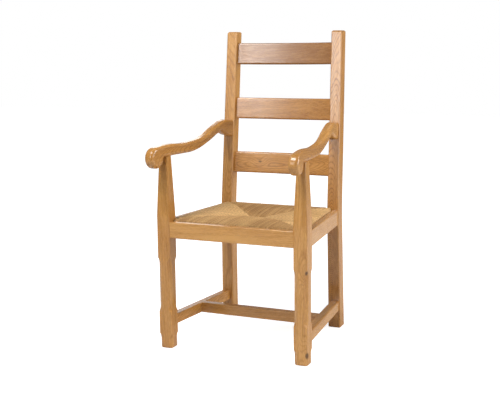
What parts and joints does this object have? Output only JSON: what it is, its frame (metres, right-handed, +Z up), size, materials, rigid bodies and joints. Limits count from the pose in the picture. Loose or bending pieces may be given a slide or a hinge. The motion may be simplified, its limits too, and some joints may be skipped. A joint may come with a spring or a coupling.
{
  "type": "ladder-back armchair",
  "caption": "High ladder-back armchair in oak, with bowed slats, scrolled S-curved arms, stop-chamfered front posts and a drop-in rush seat.",
  "frame": {"origin": "on the floor under the middle of the chair's bounding box", "axes": "+Z up from the floor; +Y from the front of the chair to its back; +X to the right as seen from the front. The chair is the same on both sides of the plane X = 0."},
  "size_m": [0.56, 0.6268, 1.1045],
  "materials": {
    "oak": "satin",
    "hidden_wood": "matte",
    "rush": "matte",
    "stuffing": "matte",
    "screw_steel": "satin"
  },
  "bodies": {
    "root": {"arm_left": "oak", "arm_right": "oak", "back_slat_bottom": "oak", "back_slat_middle": "oak", "back_slat_top": "oak", "corner_block_front_left": "hidden_wood", "corner_block_front_right": "hidden_wood", "corner_block_rear_left": "hidden_wood", "corner_block_rear_right": "hidden_wood", "corner_block_screws": "screw_steel", "front_post_left": "oak", "front_post_right": "oak", "rear_post_left": "oak", "rear_post_right": "oak", "rush_seat": "rush", "rush_stuffing": "stuffing", "seat_frame_front": "hidden_wood", "seat_frame_left": "hidden_wood", "seat_frame_rear": "hidden_wood", "seat_frame_right": "hidden_wood", "seat_rail_front": "oak", "seat_rail_left": "oak", "seat_rail_rear": "oak", "seat_rail_right": "oak", "seat_screws": "screw_steel", "stretcher_cross": "oak", "stretcher_left": "oak", "stretcher_right": "oak"}
  },
  "joints": []
}
